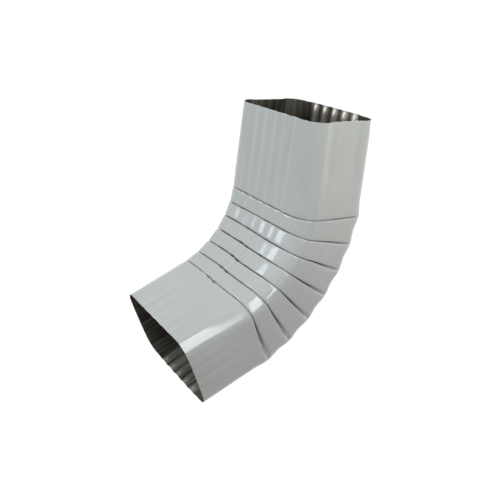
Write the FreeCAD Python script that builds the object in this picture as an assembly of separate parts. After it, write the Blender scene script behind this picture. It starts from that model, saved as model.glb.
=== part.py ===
import FreeCAD, Part
import collections
import math
import os

# Downspout elbow folded from one painted sheet, in millimetres.
# The origin is the centre of the inlet mouth, Z runs up along the inlet leg, the outlet kicks out
# towards +X and Y runs across the wide side. The throat is the inside of the bend, the heel the outside.

# The bend
TURN = 70.0
PLEATS = 7
BEND_DEPTH = 57.0
BEND_WIDTH = 82.5
CORNER = 11.5
GORE_THROAT = 10.6

# The two legs, with their lengths along the throat, and the mouths
INLET_LEG = 59.2
INLET_DEPTH = 55.0
INLET_WIDTH = 77.5
OUTLET_LEG = 46.5
OUTLET_DEPTH = 57.5
OUTLET_WIDTH = 79.0

# The sheet and the flutes pressed into it
SHEET = 0.6
FLUTE_PITCH = 9.3
FLUTE_MOUTH = 6.4
FLUTE_FLOOR = 2.4
WIDE_FLUTES = 5
WIDE_FLUTE_DEPTH = 1.6
NARROW_FLUTES = 3
NARROW_FLUTE_DEPTH = 1.1

# A pleat is a closed slit at the throat and opens to a shallow valley towards the heel
SLIT_THROAT = 1.0
VALLEY_HEEL = 3.0
HEEL_BEAD = 0.3

# How far a cut runs past the end or the face that it starts from
PAST = 1.0

STEP_ANGLE = math.radians(TURN) / PLEATS
MITRE = math.tan(STEP_ANGLE / 2)
PLEAT_DEPTH = BEND_DEPTH * MITRE
ACROSS = FreeCAD.Vector(0, 1, 0)

# One end of a length of the duct: its plane and size, and its outlines from that plane inwards
End = collections.namedtuple("End", "plane depth width outside inside")


def along(passed):
    """Direction of the duct after a number of pleats."""
    angle = passed * STEP_ANGLE
    return FreeCAD.Vector(math.sin(angle), 0, -math.cos(angle))


def to_throat(passed):
    """Direction from heel to throat after a number of pleats."""
    angle = passed * STEP_ANGLE
    return FreeCAD.Vector(math.cos(angle), 0, math.sin(angle))


def heel_point(pleat):
    """Heel end of a pleat's plane, counted from 1 at the inlet."""
    point = FreeCAD.Vector(-BEND_DEPTH / 2, 0, -INLET_LEG - PLEAT_DEPTH)
    for passed in range(1, pleat):
        point = point + along(passed) * (GORE_THROAT + 2 * PLEAT_DEPTH)
    return point


def beside_pleat(pleat, side, gap_heel, gap_throat):
    """Plane next to a pleat, before it for side -1 and after it for side 1, as a point and an axis."""
    passed = pleat if side > 0 else pleat - 1
    lean = MITRE + (gap_throat - gap_heel) / BEND_DEPTH
    base = heel_point(pleat) + along(passed) * (side * gap_heel)
    axis = to_throat(passed) + along(passed) * (side * lean)
    return base, axis


def on_plane(plane, heel_distance, across):
    """Point of a plane, by its distance from the bend's heel and its place across the duct."""
    base, axis = plane
    return base + axis * heel_distance + ACROSS * across


def outline(plane, heel, throat, half_heel, half_throat, corner):
    """Closed wire of four sides and four rounded corners on a plane."""
    points = [
        FreeCAD.Vector(heel, -half_heel, 0),
        FreeCAD.Vector(throat, -half_throat, 0),
        FreeCAD.Vector(throat, half_throat, 0),
        FreeCAD.Vector(heel, half_heel, 0),
    ]
    rounded = []
    for index, point in enumerate(points):
        back = (points[index - 1] - point).normalize()
        ahead = (points[(index + 1) % len(points)] - point).normalize()
        half = back.getAngle(ahead) / 2
        setback = corner / math.tan(half)
        poles = [point + back * setback, point, point + ahead * setback]
        rounded.append(([on_plane(plane, pole.x, pole.y) for pole in poles], math.sin(half)))
    edges = []
    for index, (poles, weight) in enumerate(rounded):
        edges.append(Part.makeLine(rounded[index - 1][0][-1], poles[0]))
        bend = Part.BezierCurve()
        bend.setPoles(poles)
        bend.setWeight(2, weight)
        edges.append(bend.toShape())
    return Part.Wire(edges)


def mouth_outline(plane, depth, width, sheet):
    """Outline of a mouth, centred on its leg and moved inwards by the sheet."""
    heel = (BEND_DEPTH - depth) / 2 + sheet
    throat = (BEND_DEPTH + depth) / 2 - sheet
    half = width / 2 - sheet
    return outline(plane, heel, throat, half, half, CORNER - sheet)


def bend_outline(plane, heel_drop, throat_drop, corner):
    """Outline of the bend, drawn in by one amount at the heel and by another at the throat."""
    half = BEND_WIDTH / 2
    return outline(plane, heel_drop, BEND_DEPTH - throat_drop, half - heel_drop, half - throat_drop, corner)


def mouth_end(heel, passed, outwards, depth, width):
    """An open end: its rim outside, and a space inside that runs on past the rim."""
    plane = (heel, to_throat(passed))
    past = (heel + along(passed) * (outwards * PAST), to_throat(passed))
    outside = [mouth_outline(plane, depth, width, 0)]
    inside = [mouth_outline(beyond, depth, width, SHEET) for beyond in (past, plane)]
    return End(plane, depth, width, outside, inside)


def pleat_end(pleat, side):
    """An end in the middle of a pleat: the bottom and the edge of its slit, and a mitre inside."""
    plane = beside_pleat(pleat, side, 0, 0)
    edge = beside_pleat(pleat, side, VALLEY_HEEL / 2, SLIT_THROAT / 2)
    outside = [bend_outline(plane, 0, PLEAT_DEPTH, CORNER), bend_outline(edge, 0, 0, CORNER)]
    inside = [bend_outline(plane, SHEET, SHEET, CORNER - SHEET)]
    return End(plane, BEND_DEPTH, BEND_WIDTH, outside, inside)


def fin(pleat):
    """The folded sheet of a pleat where it stands into the duct, as a frame of plate."""
    gaps = (VALLEY_HEEL / 2 + SHEET, SLIT_THROAT / 2 + SHEET)
    planes = [beside_pleat(pleat, side, *gaps) for side in (-1, 1)]
    rise = SHEET + HEEL_BEAD
    frame = [bend_outline(plane, 0, 0, CORNER) for plane in planes]
    clear = [bend_outline(plane, rise, PLEAT_DEPTH + rise, CORNER) for plane in planes]
    return Part.makeLoft(frame, True, True).cut(Part.makeLoft(clear, True, True))


def flute(start, end, outward, depth, sheet):
    """One flute along a side as a cut with sloped flanks, running past both ends, wider by the sheet."""
    run = end - start
    over = run * (PAST / run.Length)
    aside = outward.cross(run).normalize()
    flank = (FLUTE_MOUTH - FLUTE_FLOOR) / 2
    half_floor = FLUTE_FLOOR / 2 + sheet * math.tan(math.atan2(depth, flank) / 2)
    half_top = half_floor + (depth + sheet + PAST) * flank / depth
    section = [
        (-half_floor, -depth - sheet),
        (half_floor, -depth - sheet),
        (half_top, PAST),
        (-half_top, PAST),
    ]
    points = [start - over + aside * shift + outward * height for shift, height in section]
    return Part.Face(Part.makePolygon(points + points[:1])).extrude(run + over * 2)


def spaced(flutes):
    """Places of the flutes of one side, from its middle."""
    return [(number - (flutes - 1) / 2) * FLUTE_PITCH for number in range(flutes)]


def wide_flutes(ends, passed, side, sheet):
    """Flutes of the throat for side 1, or of the heel for side -1."""
    cuts = []
    for place in spaced(WIDE_FLUTES):
        start, finish = [on_plane(end.plane, (BEND_DEPTH + side * end.depth) / 2, place) for end in ends]
        cuts.append(flute(start, finish, to_throat(passed) * side, WIDE_FLUTE_DEPTH, sheet))
    return cuts


def narrow_flutes(ends, side, sheet):
    """Flutes of one cheek, on the side towards +Y for 1 and towards -Y for -1."""
    cuts = []
    for place in spaced(NARROW_FLUTES):
        start, finish = [on_plane(end.plane, BEND_DEPTH / 2 + place, side * end.width / 2) for end in ends]
        cuts.append(flute(start, finish, ACROSS * side, NARROW_FLUTE_DEPTH, sheet))
    return cuts


def duct_length(first, last, passed, leg):
    """Body and inner space of one length of the duct; a gore is fluted only on its heel."""
    ends = (first, last)
    body = Part.makeLoft(first.outside + last.outside[::-1], True, True)
    space = Part.makeLoft(first.inside + last.inside[::-1], True, True)
    made = []
    for shape, sheet in ((body, 0), (space, SHEET)):
        cuts = wide_flutes(ends, passed, -1, sheet)
        if leg:
            cuts += wide_flutes(ends, passed, 1, sheet)
            cuts += narrow_flutes(ends, -1, sheet) + narrow_flutes(ends, 1, sheet)
        made.append(shape.cut(cuts))
    return made


# The inlet leg, the gores between the pleats and the outlet leg
inlet_heel = FreeCAD.Vector(-BEND_DEPTH / 2, 0, 0)
outlet_heel = heel_point(PLEATS) + along(PLEATS) * (OUTLET_LEG + PLEAT_DEPTH)
inlet = mouth_end(inlet_heel, 0, -1, INLET_DEPTH, INLET_WIDTH)
outlet = mouth_end(outlet_heel, PLEATS, 1, OUTLET_DEPTH, OUTLET_WIDTH)
lengths = [duct_length(inlet, pleat_end(1, -1), 0, True)]
for pleat in range(1, PLEATS):
    lengths.append(duct_length(pleat_end(pleat, 1), pleat_end(pleat + 1, -1), pleat, False))
lengths.append(duct_length(pleat_end(PLEATS, 1), outlet, PLEATS, True))

# The sheet is the joined body less the joined space, which the fins of the pleats stand into
bodies, spaces = zip(*lengths)
fins = [fin(pleat) for pleat in range(1, PLEATS + 1)]
body = bodies[0].fuse(list(bodies[1:]))
space = spaces[0].fuse(list(spaces[1:])).cut(fins)
elbow = body.cut(space).Solids[0]

os.makedirs("parts", exist_ok=True)
elbow.exportStep(os.path.join("parts", "elbow_shell.step"))

print("elbow_shell valid", elbow.isValid(), "volume", round(elbow.Volume, 1), "box", elbow.BoundBox)
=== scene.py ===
"""Downspout elbow: one fluted and pleated sheet, painted outside and bare metal inside, in metres."""

import logging
import math
from dataclasses import dataclass, field, replace
from enum import Enum
from typing import ClassVar, Iterator

import bmesh
import bpy
from mathutils import Matrix, Quaternion, Vector, noise


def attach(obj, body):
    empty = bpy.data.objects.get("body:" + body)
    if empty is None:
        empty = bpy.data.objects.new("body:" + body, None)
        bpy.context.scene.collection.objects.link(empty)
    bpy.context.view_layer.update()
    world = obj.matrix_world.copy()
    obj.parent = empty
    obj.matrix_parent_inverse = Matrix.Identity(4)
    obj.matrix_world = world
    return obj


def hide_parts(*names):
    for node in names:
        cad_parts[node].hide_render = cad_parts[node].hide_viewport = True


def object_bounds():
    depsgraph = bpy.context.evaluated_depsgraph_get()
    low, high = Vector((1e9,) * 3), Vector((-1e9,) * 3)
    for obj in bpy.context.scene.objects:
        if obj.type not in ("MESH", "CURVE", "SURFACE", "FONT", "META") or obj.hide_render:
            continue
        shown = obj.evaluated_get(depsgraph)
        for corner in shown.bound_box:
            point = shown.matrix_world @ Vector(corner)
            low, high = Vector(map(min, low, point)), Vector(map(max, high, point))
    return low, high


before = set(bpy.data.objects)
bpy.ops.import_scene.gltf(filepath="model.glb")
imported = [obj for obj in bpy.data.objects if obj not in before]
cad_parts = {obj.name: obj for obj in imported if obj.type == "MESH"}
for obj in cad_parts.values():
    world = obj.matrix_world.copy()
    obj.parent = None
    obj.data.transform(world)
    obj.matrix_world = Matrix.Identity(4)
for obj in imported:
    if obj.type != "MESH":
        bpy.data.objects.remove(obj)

LOG = logging.getLogger("downspout_elbow")
CAD_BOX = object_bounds()
ACROSS = Vector((0.0, 1.0, 0.0))
RIM_ANGLE = math.radians(60.0)

Colour = tuple[float, float, float]
Span = tuple[float, float]


class Side(Enum):
    """The sides of the duct's section."""

    HEEL = "heel"
    THROAT = "throat"
    CHEEK = "cheek"
    CORNER = "corner"


class Finish(Enum):
    """The finishes of the sheet, in the order of the elbow's material slots."""

    PAINT = 0
    BARE_INSIDE = 1
    CUT_RIM = 2


def smooth(share: float) -> float:
    """Ease from 0 to 1, level at both ends."""
    share = min(max(share, 0.0), 1.0)
    return share * share * (3.0 - 2.0 * share)


def mix(first: float, last: float, share: float) -> float:
    """Straight blend of two values."""
    return first + (last - first) * share


@dataclass(frozen=True)
class Section:
    """Rounded rectangle of the bend, measured from its heel and from its middle.

    The sheet's place on it is held by two numbers: the distance from the heel and the place across.
    A direction whose smaller part is below level counts as straight out of a side.
    """

    depth: float = 0.0570
    width: float = 0.0825
    corner: float = 0.0120
    corner_segments: int = 10
    wide_cuts: int = 65
    narrow_cuts: int = 35
    level: float = 0.01

    @property
    def half_flat(self) -> float:
        """Distance from the middle at which the heel and the throat turn into the corners."""
        return self.width / 2 - self.corner

    def draw_loop(self, mesh: bmesh.types.BMesh) -> list[bmesh.types.BMEdge]:
        """Draw the section as a closed loop of edges.

        Args:
            mesh: the empty mesh to draw in; heel distance goes along X and the place across along Y.

        Returns:
            The edges of the loop.
        """
        bmesh.ops.create_grid(mesh, x_segments=1, y_segments=1, size=0.5)
        bmesh.ops.scale(mesh, vec=(self.depth, self.width, 1.0), verts=mesh.verts[:])
        bmesh.ops.translate(mesh, vec=(self.depth / 2, 0.0, 0.0), verts=mesh.verts[:])
        bmesh.ops.bevel(
            mesh,
            geom=mesh.verts[:],
            offset=self.corner,
            offset_type="OFFSET",
            segments=self.corner_segments,
            profile=0.5,
            affect="VERTICES",
            material=-1,
        )
        bmesh.ops.delete(mesh, geom=mesh.faces[:], context="FACES_ONLY")
        long_edges = [edge for edge in mesh.edges if edge.calc_length() > self.corner]
        wide = [edge for edge in long_edges if abs(edge.verts[0].co.x - edge.verts[1].co.x) < self.corner]
        narrow = [edge for edge in long_edges if edge not in wide]
        bmesh.ops.subdivide_edges(mesh, edges=wide, cuts=self.wide_cuts)
        bmesh.ops.subdivide_edges(mesh, edges=narrow, cuts=self.narrow_cuts)
        return mesh.edges[:]

    def outward(self, heel: float, across: float) -> tuple[float, float]:
        """Direction straight out of the sheet.

        Args:
            heel: distance from the heel.
            across: place across the duct.

        Returns:
            The direction's part from heel to throat and its part across, of unit length.
        """
        out_heel = heel - min(max(heel, self.corner), self.depth - self.corner)
        out_across = across - min(max(across, -self.half_flat), self.half_flat)
        length = math.hypot(out_heel, out_across)
        return out_heel / length, out_across / length

    def side(self, heel: float, across: float) -> Side:
        """Tell which side of the section a place is on.

        Args:
            heel: distance from the heel.
            across: place across the duct.

        Returns:
            The side, or CORNER between two sides.
        """
        out_heel, out_across = self.outward(heel, across)
        if abs(out_across) < self.level:
            return Side.THROAT if out_heel > 0 else Side.HEEL
        return Side.CHEEK if abs(out_heel) < self.level else Side.CORNER

    def corner_share(self, heel: float, across: float) -> float:
        """Share, from 0 on a side to 1, by which a place is in the middle of a corner."""
        out_heel, out_across = self.outward(heel, across)
        return (2.0 * out_heel * out_across) ** 2


@dataclass(frozen=True)
class Relief:
    """Depth of the flutes at one ring, the set of a cheek's band and the fall of the throat's margins."""

    heel: float
    throat: float
    cheek: float
    cheek_band: float = 0.0
    throat_margin: float = 0.0

    def depth(self, side: Side) -> float:
        """Depth of the flutes on one side."""
        return {Side.HEEL: self.heel, Side.THROAT: self.throat, Side.CHEEK: self.cheek}[side]

    def towards(self, other: "Relief", share: float) -> "Relief":
        """Blend into another ring's relief.

        Args:
            other: the relief of the other ring.
            share: how far to go, from 0, this relief, to 1, the other.

        Returns:
            The relief between them.
        """
        return Relief(
            mix(self.heel, other.heel, share),
            mix(self.throat, other.throat, share),
            mix(self.cheek, other.cheek, share),
            mix(self.cheek_band, other.cheek_band, share),
            mix(self.throat_margin, other.throat_margin, share),
        )


@dataclass(frozen=True)
class Flutes:
    """The rows of shallow flutes that stiffen the sheet, and the throat's margins beside them.

    The margins fall towards the throat's corners, and by the share far_margin on the side of -Y.
    """

    pitch: float = 0.0093
    wide_rows: int = 5
    narrow_rows: int = 3
    edge: float = 0.0035
    margin: float = 0.011
    far_margin: float = 0.0
    corner_fall: float = 2.2

    def drop(self, section: Section, heel: float, across: float, relief: Relief) -> float:
        """How far the flutes and the margins press the sheet in at a place.

        Args:
            section: the section of the duct.
            heel: distance from the heel.
            across: place across the duct.
            relief: depth of the flutes on each side, the set of a cheek's band and of the margins.

        Returns:
            The drop in metres.
        """
        side = section.side(heel, across)
        margin_fall = relief.throat_margin * (self.far_margin if across < 0.0 else 1.0)
        if side is Side.CORNER:
            out_heel, out_across = section.outward(heel, across)
            fall = 1.0 + self.corner_fall * abs(out_heel * out_across)
            return margin_fall * fall * max(0.0, out_heel) ** 2
        reach = heel - section.depth / 2 if side is Side.CHEEK else across
        rows = self.narrow_rows if side is Side.CHEEK else self.wide_rows
        band = 0.0
        if side is Side.CHEEK:
            band = relief.cheek_band * self.in_band(reach, rows)
        if side is Side.THROAT:
            margin_start = section.half_flat - self.margin
            band = margin_fall * max(0.0, (abs(reach) - margin_start) / self.margin) ** 2
        if abs(reach) > rows * self.pitch / 2:
            return band
        return band + relief.depth(side) / 2 * (1.0 + math.cos(2.0 * math.pi * reach / self.pitch))

    def in_band(self, reach: float, rows: int) -> float:
        """Share, from 0 to 1, by which a place lies in the band that a side's flutes cover."""
        return smooth((rows * self.pitch / 2 - abs(reach) + self.edge) / (2 * self.edge))


@dataclass(frozen=True)
class Mouth:
    """How far a mouth is drawn in from the bend's section, and the flutes at its rim."""

    heel: float
    heel_ends: float
    throat: float
    across: float
    corners: float
    rim_flute: float
    relief: Relief

    def pull(self, section: Section, flutes: Flutes, heel: float, across: float) -> tuple[float, float]:
        """Move of a place at the rim.

        Args:
            section: the section of the duct.
            flutes: the flutes, whose band on the heel stands out further than its ends.
            heel: distance from the heel.
            across: place across the duct.

        Returns:
            The move towards the throat and the move across.
        """
        out_heel, out_across = section.outward(heel, across)
        band = flutes.in_band(across, flutes.wide_rows)
        inward = self.throat if out_heel > 0.0 else mix(self.heel_ends, self.heel, band)
        trim = self.corners * section.corner_share(heel, across) if out_heel > 0.0 else 0.0
        return -out_heel * (inward + trim), -out_across * (self.across + trim)


@dataclass(frozen=True)
class Roll:
    """One ring of a fold's profile.

    It has a fixed gap, a share of the fold's opening, and its share of the fold's depth, in the slit
    at the throat and in the softer valley towards the heel.
    """

    gap: float
    opening: float
    slit: float
    valley: float


FLAT = Roll(0.0, 0.0, slit=0.0, valley=0.0)


@dataclass(frozen=True)
class Unevenness:
    """Noise over the pleats, by how fast it changes to the throat, across and from pleat to pleat."""

    to_throat: float
    across: float
    pleat: float

    def at(self, pleat: int, throat_share: float, across_share: float) -> float:
        """The noise at a place of a pleat, about -1 to 1."""
        place = (throat_share * self.to_throat, across_share * self.across, pleat * self.pleat)
        return noise.noise(Vector(place))


@dataclass(frozen=True)
class Pleats:
    """The folds that are tucked inwards on the throat and run out at the heel's corners.

    Places on a pleat are shares: from the heel, 0, to the throat, 1, and across from the middle, 0,
    to a cheek, 1 or -1.
    """

    # The bend
    count: int = 7
    turn: float = math.radians(70.0)
    gore_throat: float = 0.0106

    # Half openings: the slit on the throat, its ends at the corners, and the valley on the cheeks
    slit: float = 0.00034
    corner_slit: float = 0.00010
    corner_start: float = 0.6
    corner_fade: float = 0.3
    first_valley: float = 0.0009
    valley_growth: float = 0.00028
    closing: float = 1.05

    # What is left of the depth at the heel, and how far from the heel a fold has run out
    heel_depth: float = 0.14
    run_out: float = 0.17

    # Uneven slits and wandering lines
    unevenness: float = 0.8
    slit_noise: Unevenness = Unevenness(4.0, 9.0, 3.7)
    wander: float = 0.00035
    line_noise: Unevenness = Unevenness(2.6, 1.9, 7.3)

    # Breaks near the middle, at which the later folds gape and jog
    breaks: tuple[float, float] = (-0.12, 0.04)
    break_reach: float = 0.07
    break_gap: float = 0.00065
    sound_pleats: int = 2
    breaking_pleats: int = 3
    jog: float = 0.0006
    jog_end: float = 0.8
    jog_fade: float = 0.4

    # Ears at the heel's corners
    ear: float = 0.0011
    ear_reach: float = 0.010

    # The fold's rings from its edge inwards, its bottom, and where the flat sheet meets it
    profile: tuple[Roll, ...] = (
        Roll(0.00240, 1.00, slit=0.000, valley=0.00),
        Roll(0.00090, 1.00, slit=0.004, valley=0.02),
        Roll(0.00035, 0.95, slit=0.020, valley=0.07),
        Roll(0.00012, 0.80, slit=0.080, valley=0.22),
        Roll(0.00002, 0.55, slit=0.270, valley=0.48),
        Roll(0.00000, 0.28, slit=0.620, valley=0.78),
    )
    bottom: Roll = Roll(0.0, 0.0, slit=1.0, valley=1.0)
    lead: Roll = Roll(0.00240, 1.00, slit=0.0, valley=0.0)

    @property
    def step(self) -> float:
        """Angle that one pleat turns the duct by."""
        return self.turn / self.count

    @property
    def mitre(self) -> float:
        """Slope of a pleat's plane against the duct."""
        return math.tan(self.step / 2)

    def closed(self, throat_share: float) -> float:
        """Share, from 0 to 1, by which a pleat is a slit and not a valley."""
        return smooth(throat_share * self.closing)

    def strain(self, pleat: int) -> float:
        """Share, from 0 to 1, by which a pleat's fold has broken, which grows along the bend."""
        return smooth((pleat - self.sound_pleats) / self.breaking_pleats)

    def half_gap(self, pleat: int, throat_share: float, across_share: float) -> float:
        """Half of a pleat's opening at a place.

        Args:
            pleat: the pleat, counted from 1 at the inlet.
            throat_share: place from heel to throat.
            across_share: place across.

        Returns:
            The half opening, least at the throat's corners and uneven as a hand press leaves it.
        """
        valley = self.first_valley + self.valley_growth * (pleat - 1)
        to_corner = smooth((abs(across_share) - self.corner_start) / self.corner_fade)
        slit = mix(self.slit, self.corner_slit, to_corner)
        slit *= 1.0 + self.unevenness * self.slit_noise.at(pleat, throat_share, across_share)
        for place in self.breaks:
            nearness = smooth(1.0 - abs(across_share - place) / self.break_reach)
            slit += self.break_gap * nearness * self.strain(pleat)
        return mix(valley, slit, self.closed(throat_share))

    def fold_drop(self, roll: Roll, throat_share: float) -> float:
        """Depth of a ring of a fold.

        Args:
            roll: the ring's place in the profile.
            throat_share: place from heel to throat.

        Returns:
            The share of a pleat's full depth, nothing on the heel.
        """
        run = smooth(throat_share / self.run_out)
        depth = mix(roll.valley, roll.slit, self.closed(throat_share))
        return depth * mix(self.heel_depth, 1.0, throat_share) * run

    def shift(self, pleat: int, throat_share: float, across_share: float) -> float:
        """How far a pleat's line lies off its plane.

        Args:
            pleat: the pleat, counted from 1 at the inlet.
            throat_share: place from heel to throat.
            across_share: place across.

        Returns:
            The wander of the line along the duct, with its jog where the fold has broken.
        """
        run = smooth(throat_share / self.run_out)
        wander = self.wander * self.line_noise.at(pleat, throat_share, across_share) * run
        first, last = self.breaks
        passed = smooth((across_share - first) / (last - first)) - 0.5
        level = smooth((self.jog_end - abs(across_share)) / self.jog_fade) * self.closed(throat_share)
        return wander + self.jog * self.strain(pleat) * passed * level


@dataclass(frozen=True)
class Ring:
    """One loop of the sheet across the duct.

    It lies on the length after a number of pleats, at a share of the way along it. A ring of a fold
    names its pleat and its place in the fold's profile.
    """

    passed: int
    share: float
    relief: Relief
    taper: float = 0.0
    pleat: int = 0
    roll: Roll = FLAT


@dataclass
class ElbowSheet:
    """The elbow's one sheet, drawn out ring by ring from the inlet mouth to the outlet mouth."""

    section: Section = field(default_factory=Section)
    flutes: Flutes = field(default_factory=Flutes)
    pleats: Pleats = field(default_factory=Pleats)
    thickness: float = 0.0006

    # The two legs, by their lengths along the throat, and their mouths
    inlet_leg: float = 0.0592
    inlet: Mouth = Mouth(
        heel=0.0005,
        heel_ends=0.0025,
        throat=0.0023,
        across=0.00165,
        corners=0.0010,
        rim_flute=0.4,
        relief=Relief(heel=0.0018, throat=0.0007, cheek=0.0003, cheek_band=0.0017),
    )
    outlet_leg: float = 0.0465
    outlet: Mouth = Mouth(
        heel=-0.00025,
        heel_ends=0.0015,
        throat=0.0,
        across=0.00175,
        corners=0.0003,
        rim_flute=0.85,
        relief=Relief(heel=0.0020, throat=0.0006, cheek=0.0004, cheek_band=-0.0010),
    )

    # Rings of a leg, closer together at its mouth, and what the rim and the bend do to its flutes
    leg_rings: int = 18
    crowding: float = 1.6
    rim_share: float = 0.09
    rim_trim: float = 0.00005
    flattening: float = 0.3

    # Rings of a gore, what is left of its flutes, and the dents and falling margins of its throat
    gore_rings: int = 4
    heel_flute: float = 0.0012
    gore_flute: float = 0.00035
    gore_fading: float = 0.4
    cheek_fading: float = 3.0
    gore_margin: float = 0.0008
    dent: float = 0.0004
    dent_spacing: float = 0.016
    dent_seed: float = 5.7

    @property
    def pleat_depth(self) -> float:
        """Depth of a pleat at the throat, which is what the mitre takes out of the sheet."""
        return self.section.depth * self.pleats.mitre

    def along(self, passed: int) -> Vector:
        """Direction of the duct after a number of pleats."""
        angle = passed * self.pleats.step
        return Vector((math.sin(angle), 0.0, -math.cos(angle)))

    def to_throat(self, passed: int) -> Vector:
        """Direction from heel to throat after a number of pleats."""
        angle = passed * self.pleats.step
        return Vector((math.cos(angle), 0.0, math.sin(angle)))

    def heel_length(self, passed: int) -> float:
        """Length of a leg or a gore along its heel.

        Args:
            passed: the number of pleats before it, 0 for the inlet leg.

        Returns:
            The length in metres.
        """
        if passed == 0:
            return self.inlet_leg + self.pleat_depth
        if passed == self.pleats.count:
            return self.outlet_leg + self.pleat_depth
        return self.pleats.gore_throat + 2 * self.pleat_depth

    def heel_start(self, passed: int) -> Vector:
        """Where the heel of a leg or a gore starts.

        Args:
            passed: the number of pleats before it.

        Returns:
            The point in the object's frame.
        """
        point = Vector((-self.section.depth / 2, 0.0, 0.0))
        for earlier in range(passed):
            point += self.along(earlier) * self.heel_length(earlier)
        return point

    def gore_relief(self, passed: int) -> Relief:
        """What is left of the flutes on a gore."""
        throat = self.gore_flute * self.gore_fading ** (passed - 1)
        cheek = throat / self.cheek_fading
        return Relief(self.heel_flute, throat, cheek, throat_margin=self.gore_margin)

    def leg_relief(self, passed: int, bend_share: float) -> Relief:
        """The flutes on a leg, which the nearest pleat and the finished rim press flatter.

        Args:
            passed: the number of pleats before the leg.
            bend_share: place on the leg, from its mouth, 0, to the bend, 1.

        Returns:
            The relief at that place.
        """
        mouth = self.inlet if passed == 0 else self.outlet
        gore = self.gore_relief(1 if passed == 0 else self.pleats.count - 1)
        flatter = smooth((bend_share - self.flattening) / (1.0 - self.flattening))
        relief = mouth.relief.towards(gore, flatter)
        shown = mix(mouth.rim_flute, 1.0, smooth(bend_share / self.rim_share))
        return replace(relief, heel=relief.heel * shown)

    def fold_relief(self, passed: int) -> Relief:
        """The flutes beside a fold, on the length after a number of pleats."""
        if passed in (0, self.pleats.count):
            return self.leg_relief(passed, 1.0)
        return self.gore_relief(passed)

    def flat_rings(self, passed: int) -> Iterator[Ring]:
        """Rings of a leg or a gore between its folds.

        Args:
            passed: the number of pleats before it.

        Returns:
            The rings in order along the duct.
        """
        if passed == 0:
            for number in range(self.leg_rings):
                share = (number / self.leg_rings) ** self.crowding
                yield Ring(passed, share, self.leg_relief(passed, share), taper=1.0 - share)
        elif passed == self.pleats.count:
            for number in range(1, self.leg_rings + 1):
                share = 1.0 - (1.0 - number / self.leg_rings) ** self.crowding
                yield Ring(passed, share, self.leg_relief(passed, 1.0 - share), taper=share)
        else:
            for number in range(1, self.gore_rings + 1):
                yield Ring(passed, number / (self.gore_rings + 1), self.gore_relief(passed))

    def fold_rings(self, pleat: int) -> Iterator[Ring]:
        """Rings over one pleat: rolled edge, slit, bottom, slit and rolled edge.

        Args:
            pleat: the pleat, counted from 1 at the inlet.

        Returns:
            The rings in order along the duct.
        """
        before = self.fold_relief(pleat - 1)
        after = self.fold_relief(pleat)
        for roll in (*self.pleats.profile, self.pleats.bottom):
            yield Ring(pleat - 1, 1.0, before, pleat=pleat, roll=roll)
        for roll in reversed(self.pleats.profile):
            yield Ring(pleat, 0.0, after, pleat=pleat, roll=roll)

    def rings(self) -> Iterator[Ring]:
        """All rings from the inlet mouth to the outlet mouth."""
        yield from self.flat_rings(0)
        for pleat in range(1, self.pleats.count + 1):
            yield from self.fold_rings(pleat)
            yield from self.flat_rings(pleat)

    def beside(self, ring: Ring, pleat: int, heel: float, across: float) -> tuple[float, float]:
        """Distances of a ring from a pleat along the duct.

        Args:
            ring: the ring.
            pleat: the pleat at one end of the ring's length.
            heel: the point's distance from the heel, on the section.
            across: the point's place across the duct, on the section.

        Returns:
            The gap that the fold leaves, and the fold's own wander along the duct.
        """
        roll = ring.roll if ring.pleat == pleat else self.pleats.lead
        share = heel / self.section.depth
        across_share = 2.0 * across / self.section.width
        gap = roll.gap + roll.opening * self.pleats.half_gap(pleat, share, across_share)
        return gap, self.pleats.shift(pleat, share, across_share)

    def span(self, ring: Ring, heel: float, across: float, deep: float) -> Span:
        """Where a ring's length starts and finishes at a point of the section.

        Args:
            ring: the ring.
            heel: the point's distance from the heel, on the section.
            across: the point's place across the duct, on the section.
            deep: the point's distance from the heel once the sheet is pressed in.

        Returns:
            The start and the finish, both along the duct from the start of the heel.
        """
        length = self.heel_length(ring.passed)
        start = self.rim_trim
        finish = length - self.rim_trim
        if ring.passed > 0:
            gap, shift = self.beside(ring, ring.passed, heel, across)
            start = gap + self.pleats.mitre * deep + shift
        if ring.passed < self.pleats.count:
            gap, shift = self.beside(ring, ring.passed + 1, heel, across)
            finish = length - gap - self.pleats.mitre * deep + shift
        return start, finish

    def ear(self, passed: int, far: float, heel: float, across: float) -> float:
        """How far the sheet stands out at a heel corner, where the end of a pleat bunches it.

        Args:
            passed: the number of pleats before the length.
            far: the point's distance along the duct from the start of the length's heel.
            heel: the point's distance from the heel, on the section.
            across: the point's place across the duct, on the section.

        Returns:
            The rise in metres.
        """
        if self.section.side(heel, across) is not Side.CORNER or heel > self.section.depth / 2:
            return 0.0
        nearest = self.pleats.ear_reach
        if passed > 0:
            nearest = min(nearest, abs(far))
        if passed < self.pleats.count:
            nearest = min(nearest, abs(self.heel_length(passed) - far))
        bump = self.section.corner_share(heel, across)
        return self.pleats.ear * bump * (1.0 - nearest / self.pleats.ear_reach)

    def dent_drop(self, passed: int, heel: float, across: float) -> float:
        """How far the press leaves a gore's throat uneven, fading out at its corners.

        Args:
            passed: the number of pleats before the length.
            heel: the point's distance from the heel, on the section.
            across: the point's place across the duct, on the section.

        Returns:
            The drop in metres, nothing on a leg and on the other sides.
        """
        if passed in (0, self.pleats.count) or self.section.side(heel, across) is not Side.THROAT:
            return 0.0
        rough = noise.noise(Vector((across / self.dent_spacing, passed * self.dent_seed, 0.0)))
        fade = smooth((self.section.half_flat - abs(across)) / self.flutes.margin)
        return self.dent * (1.0 + rough) / 2 * fade

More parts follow.
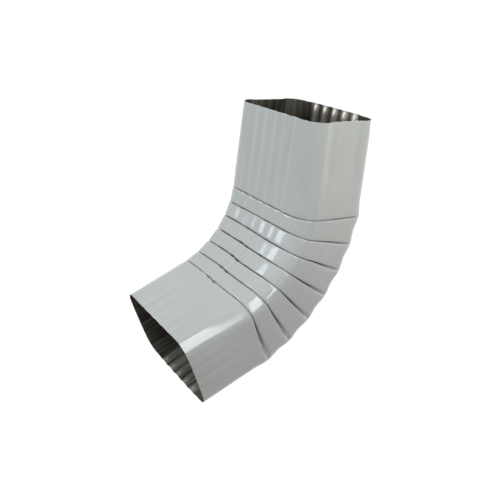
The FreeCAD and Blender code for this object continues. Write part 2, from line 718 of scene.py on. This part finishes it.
    def place(self, ring: Ring, heel: float, across: float) -> Vector:
        """Put a point of the section on a ring.

        Args:
            ring: the ring to put it on.
            heel: the point's distance from the heel, on the section.
            across: the point's place across the duct, on the section.

        Returns:
            The point in the object's frame.
        """
        drop = self.flutes.drop(self.section, heel, across, ring.relief)
        drop += self.dent_drop(ring.passed, heel, across)
        drop += self.pleat_depth * self.pleats.fold_drop(ring.roll, heel / self.section.depth)
        mouth = self.inlet if ring.passed == 0 else self.outlet
        pull_heel, pull_across = mouth.pull(self.section, self.flutes, heel, across)
        out_heel, out_across = self.section.outward(heel, across)
        deep = heel - out_heel * drop + pull_heel * ring.taper
        aside = across - out_across * drop + pull_across * ring.taper

        start, finish = self.span(ring, heel, across, deep)
        far = mix(start, finish, ring.share)
        ear = self.ear(ring.passed, far, heel, across)
        point = self.heel_start(ring.passed) + self.along(ring.passed) * far
        point += self.to_throat(ring.passed) * (deep + out_heel * ear)
        return point + ACROSS * (aside + out_across * ear)

    @staticmethod
    def extrude(
        mesh: bmesh.types.BMesh, loop: list[bmesh.types.BMEdge]
    ) -> tuple[list[bmesh.types.BMVert], list[bmesh.types.BMEdge]]:
        """Grow the sheet by one ring.

        Args:
            mesh: the mesh of the sheet.
            loop: the edges of its last ring.

        Returns:
            The points and the edges of the new ring, which still lies on the last one.
        """
        grown = bmesh.ops.extrude_edge_only(mesh, edges=loop)["geom"]
        verts = [item for item in grown if isinstance(item, bmesh.types.BMVert)]
        edges = [item for item in grown if isinstance(item, bmesh.types.BMEdge)]
        fresh = set(verts)
        return verts, [edge for edge in edges if edge.verts[0] in fresh and edge.verts[1] in fresh]

    def draw(self, mesh: bmesh.types.BMesh) -> None:
        """Draw the sheet out of the section, with each point's place on the sheet as attributes.

        Args:
            mesh: the empty mesh to draw in.
        """
        loop = self.section.draw_loop(mesh)
        heel_layer = mesh.verts.layers.float.new("heel")
        across_layer = mesh.verts.layers.float.new("across")
        # The ridge attribute marks the heel's flute ridges, where the inside gets painted highlights
        ridge_layer = mesh.verts.layers.float.new("ridge")
        reach_layer = mesh.verts.layers.float.new("reach")
        ridges = Relief(heel=1.0, throat=0.0, cheek=0.0)
        for vert in mesh.verts:
            vert[heel_layer], vert[across_layer] = vert.co.x, vert.co.y
            vert[ridge_layer] = self.flutes.drop(self.section, vert.co.x, vert.co.y, ridges)
        verts = mesh.verts[:]
        reach = 0.0
        middle = None
        for number, ring in enumerate(self.rings()):
            if number > 0:
                verts, loop = self.extrude(mesh, loop)
            for vert in verts:
                vert.co = self.place(ring, vert[heel_layer], vert[across_layer])
            centre = sum((vert.co for vert in verts), Vector()) / len(verts)
            reach += (centre - middle).length if middle else 0.0
            middle = centre
            for vert in verts:
                vert[reach_layer] = reach

    @staticmethod
    def face_outwards(mesh: bmesh.types.BMesh) -> None:
        """Turn all faces out of the duct and shade them smooth.

        Args:
            mesh: the finished mesh, whose first face is on the upright inlet leg.
        """
        bmesh.ops.recalc_face_normals(mesh, faces=mesh.faces[:])
        mesh.faces.ensure_lookup_table()
        first = mesh.faces[0]
        if first.normal.dot(first.calc_center_median().xy.to_3d()) < 0.0:
            bmesh.ops.reverse_faces(mesh, faces=mesh.faces[:])
        for face in mesh.faces:
            face.smooth = True

    def build(self) -> bpy.types.Object:
        """Draw the sheet and give it its thickness.

        Returns:
            The object, with no materials yet and its thickness as a modifier.
        """
        mesh = bmesh.new()
        self.draw(mesh)
        self.face_outwards(mesh)
        data = bpy.data.meshes.new("elbow_sheet")
        mesh.to_mesh(data)
        mesh.free()
        sheet = bpy.data.objects.new("elbow_sheet", data)
        bpy.context.collection.objects.link(sheet)
        wall = sheet.modifiers.new("sheet", "SOLIDIFY")
        wall.thickness = self.thickness
        wall.offset = -1.0
        wall.material_offset = Finish.BARE_INSIDE.value
        wall.material_offset_rim = Finish.CUT_RIM.value
        return sheet


class Nodes:
    """Short hand for building one node tree."""

    def __init__(self, tree: bpy.types.NodeTree) -> None:
        """Start from an empty tree."""
        tree.nodes.clear()
        self.tree = tree

    def add(self, kind: str, **settings: object) -> bpy.types.Node:
        """Add a node.

        Args:
            kind: the node's type.
            **settings: the properties to set on it.

        Returns:
            The node.
        """
        node = self.tree.nodes.new(kind)
        for name, value in settings.items():
            setattr(node, name, value)
        return node

    def link(self, source: bpy.types.NodeSocket, target: bpy.types.NodeSocket) -> None:
        """Join two sockets."""
        self.tree.links.new(source, target)

    def attribute(self, name: str) -> bpy.types.NodeSocket:
        """Read one of the sheet's own attributes."""
        return self.add("ShaderNodeAttribute", attribute_name=name).outputs["Fac"]

    def object_place(self) -> bpy.types.NodeSocket:
        """Read the place in the object's own frame."""
        return self.add("ShaderNodeTexCoord").outputs["Object"]

    def math(
        self, operation: str, first: bpy.types.NodeSocket | float, second: bpy.types.NodeSocket | float
    ) -> bpy.types.NodeSocket:
        """Add a sum, product or the like.

        Args:
            operation: what to work out.
            first: the first socket or number.
            second: the second socket or number.

        Returns:
            The result's socket.
        """
        node = self.add("ShaderNodeMath", operation=operation)
        for socket, value in zip(node.inputs, (first, second)):
            if isinstance(value, bpy.types.NodeSocket):
                self.link(value, socket)
            else:
                socket.default_value = value
        return node.outputs[0]

    def ranged(
        self, value: bpy.types.NodeSocket, source: Span, target: Span, curve: str = "LINEAR"
    ) -> bpy.types.NodeSocket:
        """Map one range of values to another, with no values past its ends.

        Args:
            value: the value's socket.
            source: the range that it comes from.
            target: the range that it goes to.
            curve: how it goes from one end to the other.

        Returns:
            The mapped value's socket.
        """
        node = self.add("ShaderNodeMapRange", interpolation_type=curve)
        node.inputs["From Min"].default_value, node.inputs["From Max"].default_value = source
        node.inputs["To Min"].default_value, node.inputs["To Max"].default_value = target
        self.link(value, node.inputs["Value"])
        return node.outputs[0]

    def cloud(self, place: bpy.types.NodeSocket, scale: float, detail: float) -> bpy.types.NodeSocket:
        """Add a cloudy texture.

        Args:
            place: the socket of the place that it is drawn at.
            scale: how many clouds there are in a length of 1.
            detail: how many finer layers it has.

        Returns:
            The texture's socket, about 0 to 1.
        """
        node = self.add("ShaderNodeTexNoise")
        node.inputs["Scale"].default_value = scale
        node.inputs["Detail"].default_value = detail
        self.link(place, node.inputs["Vector"])
        return node.outputs["Fac"]


class RollMarks:
    """Node group: faint marks along the duct, as the rolls leave them on the sheet, and broad clouds."""

    NAME = "roll_marks"
    MARK_SCALE = 1.0
    MARK_DETAIL = 4.0
    CLOUD_SCALE = 30.0
    CLOUD_DETAIL = 3.0

    @classmethod
    def group(cls) -> bpy.types.NodeTree:
        """Make the group once.

        Returns:
            The group, with inputs Fineness and Drift and outputs Mark and Cloud.
        """
        made = bpy.data.node_groups.get(cls.NAME)
        if made:
            return made
        tree = bpy.data.node_groups.new(cls.NAME, "ShaderNodeTree")
        for name, way in (("Fineness", "INPUT"), ("Drift", "INPUT"), ("Mark", "OUTPUT"), ("Cloud", "OUTPUT")):
            tree.interface.new_socket(name, in_out=way, socket_type="NodeSocketFloat")
        nodes = Nodes(tree)
        inputs = nodes.add("NodeGroupInput")
        outputs = nodes.add("NodeGroupOutput")
        place = nodes.add("ShaderNodeCombineXYZ")
        scales = (("heel", "Fineness"), ("across", "Fineness"), ("reach", "Drift"))
        for axis, (name, scale) in enumerate(scales):
            scaled = nodes.math("MULTIPLY", nodes.attribute(name), inputs.outputs[scale])
            nodes.link(scaled, place.inputs[axis])
        mark = nodes.cloud(place.outputs[0], cls.MARK_SCALE, cls.MARK_DETAIL)
        nodes.link(mark, outputs.inputs["Mark"])
        cloud = nodes.cloud(nodes.object_place(), cls.CLOUD_SCALE, cls.CLOUD_DETAIL)
        nodes.link(cloud, outputs.inputs["Cloud"])
        return tree


@dataclass(frozen=True)
class PaintedHeelLight:
    """Painted light on the inside of the heel, lightest on its ridges as painted highlights and towards the
    outlet.

    Reaches are in metres from the heel and along the duct, and shades are added to the marks' shade.
    """

    colour: Colour
    ramp_place: float = 0.95
    heel_reach: Span = (0.0005, 0.005)
    heel_share: Span = (1.0, 0.0)
    outlet_light_reach: Span = (0.05, 0.20)
    outlet_light_shade: Span = (-0.05, 0.12)
    ridge_highlight_shade: float = 0.5

    def add_painted_light(
        self, nodes: Nodes, ramp: bpy.types.ColorRamp, shade: bpy.types.NodeSocket
    ) -> bpy.types.NodeSocket:
        """Add the painted light's colour.

        Args:
            nodes: the material's nodes.
            ramp: the colour ramp, which takes up the painted light's colour.
            shade: the shade that the marks alone give.

        Returns:
            The shade that the ramp is to show.
        """
        ramp.elements.new(self.ramp_place).color = (*self.colour, 1.0)
        # Painted light: lighter beside the heel, more so towards the outlet, with painted highlights on the
        # ridges
        on_heel = nodes.ranged(nodes.attribute("heel"), self.heel_reach, self.heel_share, "SMOOTHSTEP")
        outlet_light = nodes.ranged(nodes.attribute("reach"), self.outlet_light_reach, self.outlet_light_shade, "SMOOTHSTEP")
        ridge_highlight = nodes.math("MULTIPLY", nodes.attribute("ridge"), self.ridge_highlight_shade)
        painted_lift = nodes.math("MULTIPLY", on_heel, nodes.math("ADD", outlet_light, ridge_highlight))
        return nodes.math("ADD", shade, painted_lift)


@dataclass(frozen=True)
class Coating:
    """One finish of the sheet: its colours, gloss and fine relief."""

    name: str
    light: Colour
    dark: Colour
    metallic: float
    smoothest: float
    roughest: float
    coat: float
    fineness: float
    drift: float
    relief: float
    peel: float
    # Painted light on the heel's inside, for the bare metal only
    painted_light: PaintedHeelLight | None = None

    # Shades at which the two colours and the ends of the gloss lie, and the grain of the peel
    COLOUR_SHADES: ClassVar[Span] = (0.35, 0.65)
    GLOSS_SHADES: ClassVar[Span] = (0.3, 0.7)
    PEEL_SCALE: ClassVar[float] = 900.0
    PEEL_DETAIL: ClassVar[float] = 2.0

    def material(self) -> bpy.types.Material:
        """Make the material from nodes.

        Returns:
            The material, on the sheet's own attributes and Object coordinates.
        """
        made = bpy.data.materials.new(self.name)
        made.use_nodes = True
        nodes = Nodes(made.node_tree)
        shader = nodes.add("ShaderNodeBsdfPrincipled")
        shader.inputs["Metallic"].default_value = self.metallic
        shader.inputs["Coat Weight"].default_value = self.coat
        shader.inputs["Coat Roughness"].default_value = self.smoothest
        output = nodes.add("ShaderNodeOutputMaterial")
        nodes.link(shader.outputs[0], output.inputs["Surface"])
        marks = nodes.add("ShaderNodeGroup", node_tree=RollMarks.group())
        marks.inputs["Fineness"].default_value = self.fineness
        marks.inputs["Drift"].default_value = self.drift
        both = nodes.math("ADD", marks.outputs["Mark"], marks.outputs["Cloud"])
        shade = nodes.math("MULTIPLY", both, 0.5)
        nodes.link(self.colour(nodes, shade), shader.inputs["Base Color"])
        gloss = nodes.ranged(shade, self.GLOSS_SHADES, (self.smoothest, self.roughest))
        nodes.link(gloss, shader.inputs["Roughness"])
        nodes.link(self.bump(nodes, marks.outputs["Mark"]), shader.inputs["Normal"])
        return made

    def colour(self, nodes: Nodes, shade: bpy.types.NodeSocket) -> bpy.types.NodeSocket:
        """Colour the surface by its shade.

        Args:
            nodes: the material's nodes.
            shade: the shade that the marks give.

        Returns:
            The colour's socket.
        """
        ramp = nodes.add("ShaderNodeValToRGB")
        for element, place, colour in zip(
            ramp.color_ramp.elements, self.COLOUR_SHADES, (self.dark, self.light)
        ):
            element.position = place
            element.color = (*colour, 1.0)
        # Painted light lifts the shade on the heel's inside
        shown = self.painted_light.add_painted_light(nodes, ramp.color_ramp, shade) if self.painted_light else shade
        nodes.link(shown, ramp.inputs[0])
        return ramp.outputs[0]

    def bump(self, nodes: Nodes, mark: bpy.types.NodeSocket) -> bpy.types.NodeSocket:
        """Give the surface its fine relief.

        Args:
            nodes: the material's nodes.
            mark: the socket of the marks that the rolls leave.

        Returns:
            The normal's socket.
        """
        peel = nodes.cloud(nodes.object_place(), self.PEEL_SCALE, self.PEEL_DETAIL)
        fine = nodes.math("MULTIPLY", peel, self.peel)
        rolled = nodes.math("MULTIPLY", mark, self.relief)
        bump = nodes.add("ShaderNodeBump")
        bump.inputs["Strength"].default_value = 1.0
        bump.inputs["Distance"].default_value = 1.0
        nodes.link(nodes.math("ADD", fine, rolled), bump.inputs["Height"])
        return bump.outputs[0]


COATINGS = {
    Finish.PAINT: Coating(
        name="light_grey_paint",
        light=(0.44, 0.455, 0.438),
        dark=(0.40, 0.415, 0.398),
        metallic=0.0,
        smoothest=0.11,
        roughest=0.19,
        coat=0.6,
        fineness=420.0,
        drift=6.0,
        relief=0.000010,
        peel=0.000004,
    ),
    Finish.BARE_INSIDE: Coating(
        name="bare_sheet_metal",
        light=(0.27, 0.25, 0.213),
        dark=(0.05, 0.046, 0.037),
        metallic=0.80,
        smoothest=0.20,
        roughest=0.46,
        coat=0.0,
        fineness=600.0,
        drift=10.0,
        relief=0.000020,
        peel=0.000006,
        # Painted light: a lighter colour on the heel's inside, towards the outlet and on its ridges
        painted_light=PaintedHeelLight((0.52, 0.49, 0.44)),
    ),
    Finish.CUT_RIM: Coating(
        name="cut_sheet_edge",
        light=(0.16, 0.16, 0.155),
        dark=(0.07, 0.07, 0.07),
        metallic=0.6,
        smoothest=0.45,
        roughest=0.65,
        coat=0.0,
        fineness=1500.0,
        drift=300.0,
        relief=0.000020,
        peel=0.000010,
    ),
}

WHITE = (1.0, 1.0, 1.0)
PALE_BLUE = (0.92, 0.955, 1.0)
COOL = (0.89, 0.95, 1.0)
BLUISH = (0.87, 0.94, 1.0)
WARM = (1.0, 0.975, 0.90)
STRIP_SLANT = math.radians(20.0)


@dataclass(frozen=True)
class Softbox:
    """A rectangular studio lamp that points at the elbow; a fill lamp isn't mirrored in its gloss."""

    name: str
    towards: tuple[float, float, float]
    distance: float
    size: Span
    power: float
    colour: Colour = WHITE
    roll: float = 0.0
    mirrored: bool = True

    def hang(self, aim: Vector) -> None:
        """Hang the lamp.

        Args:
            aim: the point that it faces.
        """
        data = bpy.data.lights.new(self.name, "AREA")
        data.shape = "RECTANGLE"
        data.size, data.size_y = self.size
        data.energy = self.power
        data.color = self.colour
        lamp = bpy.data.objects.new(self.name, data)
        away = Vector(self.towards).normalized()
        lamp.location = aim + away * self.distance
        turn = away.to_track_quat("Z", "Y") @ Quaternion((0.0, 0.0, 1.0), self.roll)
        lamp.rotation_euler = turn.to_euler()
        lamp.visible_glossy = self.mirrored
        bpy.context.collection.objects.link(lamp)


@dataclass
class Studio:
    """Camera, lamps, floor and the white surroundings."""

    # The camera, at the photograph's place and angle
    camera_place: Vector = field(default_factory=lambda: Vector((0.24095, 0.25979, 0.05605)))
    camera_right: Vector = field(default_factory=lambda: Vector((-0.80333, 0.58913, 0.08710)))
    camera_look: Vector = field(default_factory=lambda: Vector((-0.56780, -0.71358, -0.41038)))
    lens: float = 38.46
    clip_start: float = 0.01

    # The lamps
    aim: Vector = field(default_factory=lambda: Vector((0.03, 0.0, -0.09)))
    softboxes: tuple[Softbox, ...] = (
        Softbox("left_softbox", (0.757, -0.553, 0.348), 1.1, (0.25, 0.63), 2.2, BLUISH),
        Softbox("left_fill", (0.90, -0.20, 0.38), 1.2, (1.20, 1.20), 8.1, COOL, mirrored=False),
        Softbox("high_fill", (0.50, -0.45, 0.74), 0.8, (0.60, 0.60), 1.2, COOL, mirrored=False),
        Softbox("top_strip", (0.152, 0.71, 0.69), 0.7, (0.19, 0.78), 2.6, PALE_BLUE, STRIP_SLANT),
        Softbox("front_softbox", (-0.33, 0.74, 0.58), 0.27, (0.20, 0.20), 0.28, WARM, mirrored=False),
        Softbox("back_softbox", (-0.80, -0.55, 0.25), 1.2, (0.90, 0.90), 13.0),
    )

    # The floor, with the glow that whitens it to the eye from below the elbow outwards
    floor_gap: float = 0.25
    floor_size: float = 12.0
    floor_colour: Colour = (0.26, 0.256, 0.243)
    floor_glow: Span = (0.77, 0.97)
    glow_reach: Span = (0.60, 1.27)

    # The soft light from all around
    sky: float = 0.15
    sky_colour: Colour = (1.0, 0.99, 0.96)

    def camera(self) -> None:
        """Set the camera up."""
        data = bpy.data.cameras.new("photo_camera")
        data.lens = self.lens
        data.clip_start = self.clip_start
        eye = bpy.data.objects.new("photo_camera", data)
        back = -self.camera_look.normalized()
        right = (self.camera_right - back * self.camera_right.dot(back)).normalized()
        turn = Matrix((right, back.cross(right), back)).transposed()
        eye.matrix_world = Matrix.Translation(self.camera_place) @ turn.to_4x4()
        bpy.context.collection.objects.link(eye)
        bpy.context.scene.camera = eye

    @staticmethod
    def seen(nodes: Nodes) -> bpy.types.NodeSocket:
        """Pick out the rays that show the background as it is.

        Args:
            nodes: the nodes of the floor or the surroundings.

        Returns:
            A mask of the rays to the eye, in reflections and through clear materials.
        """
        rays = nodes.add("ShaderNodeLightPath")
        first = nodes.math("MAXIMUM", rays.outputs["Is Camera Ray"], rays.outputs["Is Glossy Ray"])
        return nodes.math("MAXIMUM", first, rays.outputs["Is Transmission Ray"])

    def floor_material(self) -> bpy.types.Material:
        """Make the floor's material, whose glow shows to the eye and in reflections and lights nothing.

        Returns:
            The material.
        """
        made = bpy.data.materials.new("floor_white")
        made.use_nodes = True
        nodes = Nodes(made.node_tree)
        paper = nodes.add("ShaderNodeBsdfDiffuse")
        paper.inputs["Color"].default_value = (*self.floor_colour, 1.0)
        far = nodes.add("ShaderNodeVectorMath", operation="LENGTH")
        nodes.link(nodes.object_place(), far.inputs[0])
        rise = nodes.ranged(far.outputs["Value"], self.glow_reach, self.floor_glow, "SMOOTHSTEP")
        glow = nodes.add("ShaderNodeEmission")
        nodes.link(nodes.math("MULTIPLY", self.seen(nodes), rise), glow.inputs["Strength"])
        both = nodes.add("ShaderNodeAddShader")
        nodes.link(paper.outputs[0], both.inputs[0])
        nodes.link(glow.outputs[0], both.inputs[1])
        output = nodes.add("ShaderNodeOutputMaterial")
        nodes.link(both.outputs[0], output.inputs["Surface"])
        return made

    def floor(self) -> None:
        """Lay a plain pale floor below the elbow, which hangs from its inlet."""
        mesh = bmesh.new()
        bmesh.ops.create_grid(mesh, x_segments=1, y_segments=1, size=self.floor_size / 2)
        bmesh.ops.translate(mesh, vec=(0.0, 0.0, CAD_BOX[0].z - self.floor_gap), verts=mesh.verts[:])
        data = bpy.data.meshes.new("floor")
        mesh.to_mesh(data)
        mesh.free()
        floor = bpy.data.objects.new("floor", data)
        bpy.context.collection.objects.link(floor)
        data.materials.append(self.floor_material())

    def surroundings(self) -> None:
        """Fill the surroundings with soft light, plain white to the eye and in reflections."""
        world = bpy.data.worlds.new("studio")
        bpy.context.scene.world = world
        world.use_nodes = True
        nodes = Nodes(world.node_tree)
        white = nodes.add("ShaderNodeBackground")
        white.inputs["Color"].default_value = (*WHITE, 1.0)
        white.inputs["Strength"].default_value = 1.0
        soft = nodes.add("ShaderNodeBackground")
        soft.inputs["Color"].default_value = (*self.sky_colour, 1.0)
        soft.inputs["Strength"].default_value = self.sky
        blend = nodes.add("ShaderNodeMixShader")
        nodes.link(self.seen(nodes), blend.inputs[0])
        nodes.link(soft.outputs[0], blend.inputs[1])
        nodes.link(white.outputs[0], blend.inputs[2])
        output = nodes.add("ShaderNodeOutputWorld")
        nodes.link(blend.outputs[0], output.inputs["Surface"])

    def build(self) -> None:
        """Set up the camera, the floor, the surroundings and the lamps."""
        self.camera()
        self.floor()
        self.surroundings()
        for softbox in self.softboxes:
            softbox.hang(self.aim)
        bpy.context.scene.view_settings.view_transform = "Standard"


def settle(sheet: bpy.types.Object) -> None:
    """Fix the sheet's thickness into its mesh and keep the cut rims sharp.

    Args:
        sheet: the sheet, with its materials.
    """
    graph = bpy.context.evaluated_depsgraph_get()
    solid = bpy.data.meshes.new_from_object(sheet.evaluated_get(graph))
    sheet.modifiers.clear()
    sheet.data = solid
    solid.set_sharp_from_angle(angle=RIM_ANGLE)


def dress(sheet: bpy.types.Object) -> None:
    """Give the sheet its finishes and tie it to the frame.

    Args:
        sheet: the sheet as it is built.
    """
    for finish in Finish:
        sheet.data.materials.append(COATINGS[finish].material())
    settle(sheet)
    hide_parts("elbow_shell")
    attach(sheet, "root")


def main() -> None:
    """Build the studio and the elbow in order."""
    logging.basicConfig(level=logging.INFO)
    Studio().build()
    LOG.info("studio ready")
    sheet = ElbowSheet().build()
    dress(sheet)
    LOG.info("%s: %d faces", sheet.name, len(sheet.data.polygons))


if __name__ == "__main__":
    main()
